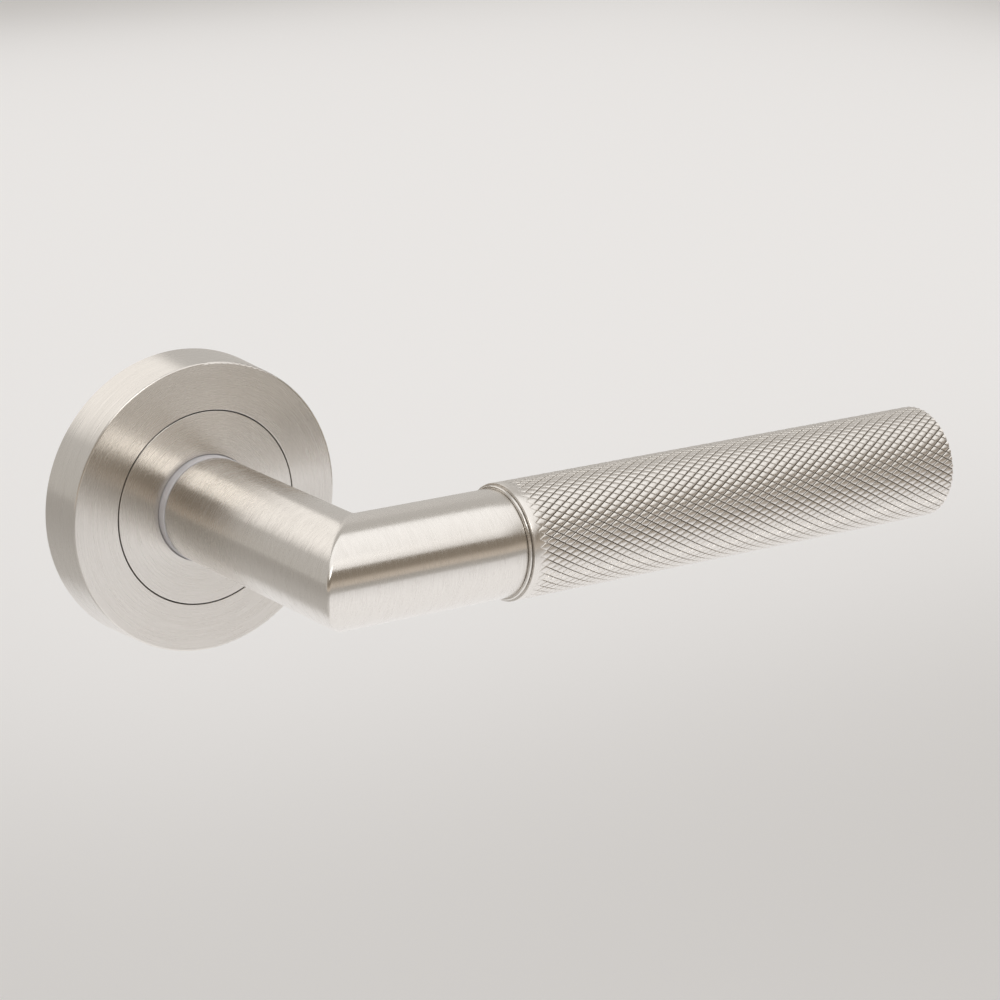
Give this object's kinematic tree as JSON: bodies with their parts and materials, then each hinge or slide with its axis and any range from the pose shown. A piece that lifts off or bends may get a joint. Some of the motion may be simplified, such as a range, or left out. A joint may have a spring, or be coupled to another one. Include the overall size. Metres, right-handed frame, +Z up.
{
  "type": "door lever handle",
  "caption": "Sprung door lever handle: a mitred round lever with a knurled grip turning in a round rose with a pull-off cover.",
  "frame": {"origin": "where the spindle's axis meets the door's face, at the middle of the rose's back", "axes": "+X along the lever to its free end, +Z up the door, +Y into the door, so the handle stands out on the -Y side"},
  "size_m": [0.1527, 0.098, 0.0536],
  "materials": {
    "satin_nickel": "fine brushed satin nickel",
    "knurled_nickel": "knurled satin nickel, darker in the grooves",
    "nylon": "smooth light grey nylon",
    "zinc_plated_steel": "bright zinc plate",
    "spring_steel": "oiled spring steel",
    "black_oxide_steel": "black oxide",
    "core_aluminium": "turned",
    "spindle_steel": "cold-drawn bar"
  },
  "bodies": {
    "rose_base": {"base_plate": "zinc_plated_steel", "fixing_posts": "zinc_plated_steel", "hub_cup": "satin_nickel", "cup_screws": "black_oxide_steel", "neck_bush": "nylon", "return_spring": "spring_steel", "cover_snap_ring": "spring_steel"},
    "cover": {"rose_cover": "satin_nickel"},
    "lever": {"lever_tube": "satin_nickel", "neck_insert": "zinc_plated_steel", "spring_driver": "zinc_plated_steel", "thrust_washer": "zinc_plated_steel", "wave_washer": "spring_steel", "circlip": "black_oxide_steel", "spindle": "spindle_steel", "spindle_grub_screw": "black_oxide_steel", "grip_core": "core_aluminium", "core_grub_screw": "black_oxide_steel", "grip_collar": "satin_nickel", "grip_sleeve": "knurled_nickel", "end_plug": "satin_nickel"}
  },
  "joints": [
    {"name": "lever_turn", "type": "hinge", "parent": "rose_base", "child": "lever", "pos_m": [0, 0, 0], "axis": [0, 1, 0], "range_deg": [0, 45], "stiffness_Nm_per_rad": 1.1, "springref_deg": -34.38, "deforming": ["return_spring"]},
    {"name": "cover_pull", "type": "slide", "parent": "rose_base", "child": "cover", "axis": [0, -1, 0], "range_m": [0, 0.03]}
  ]
}
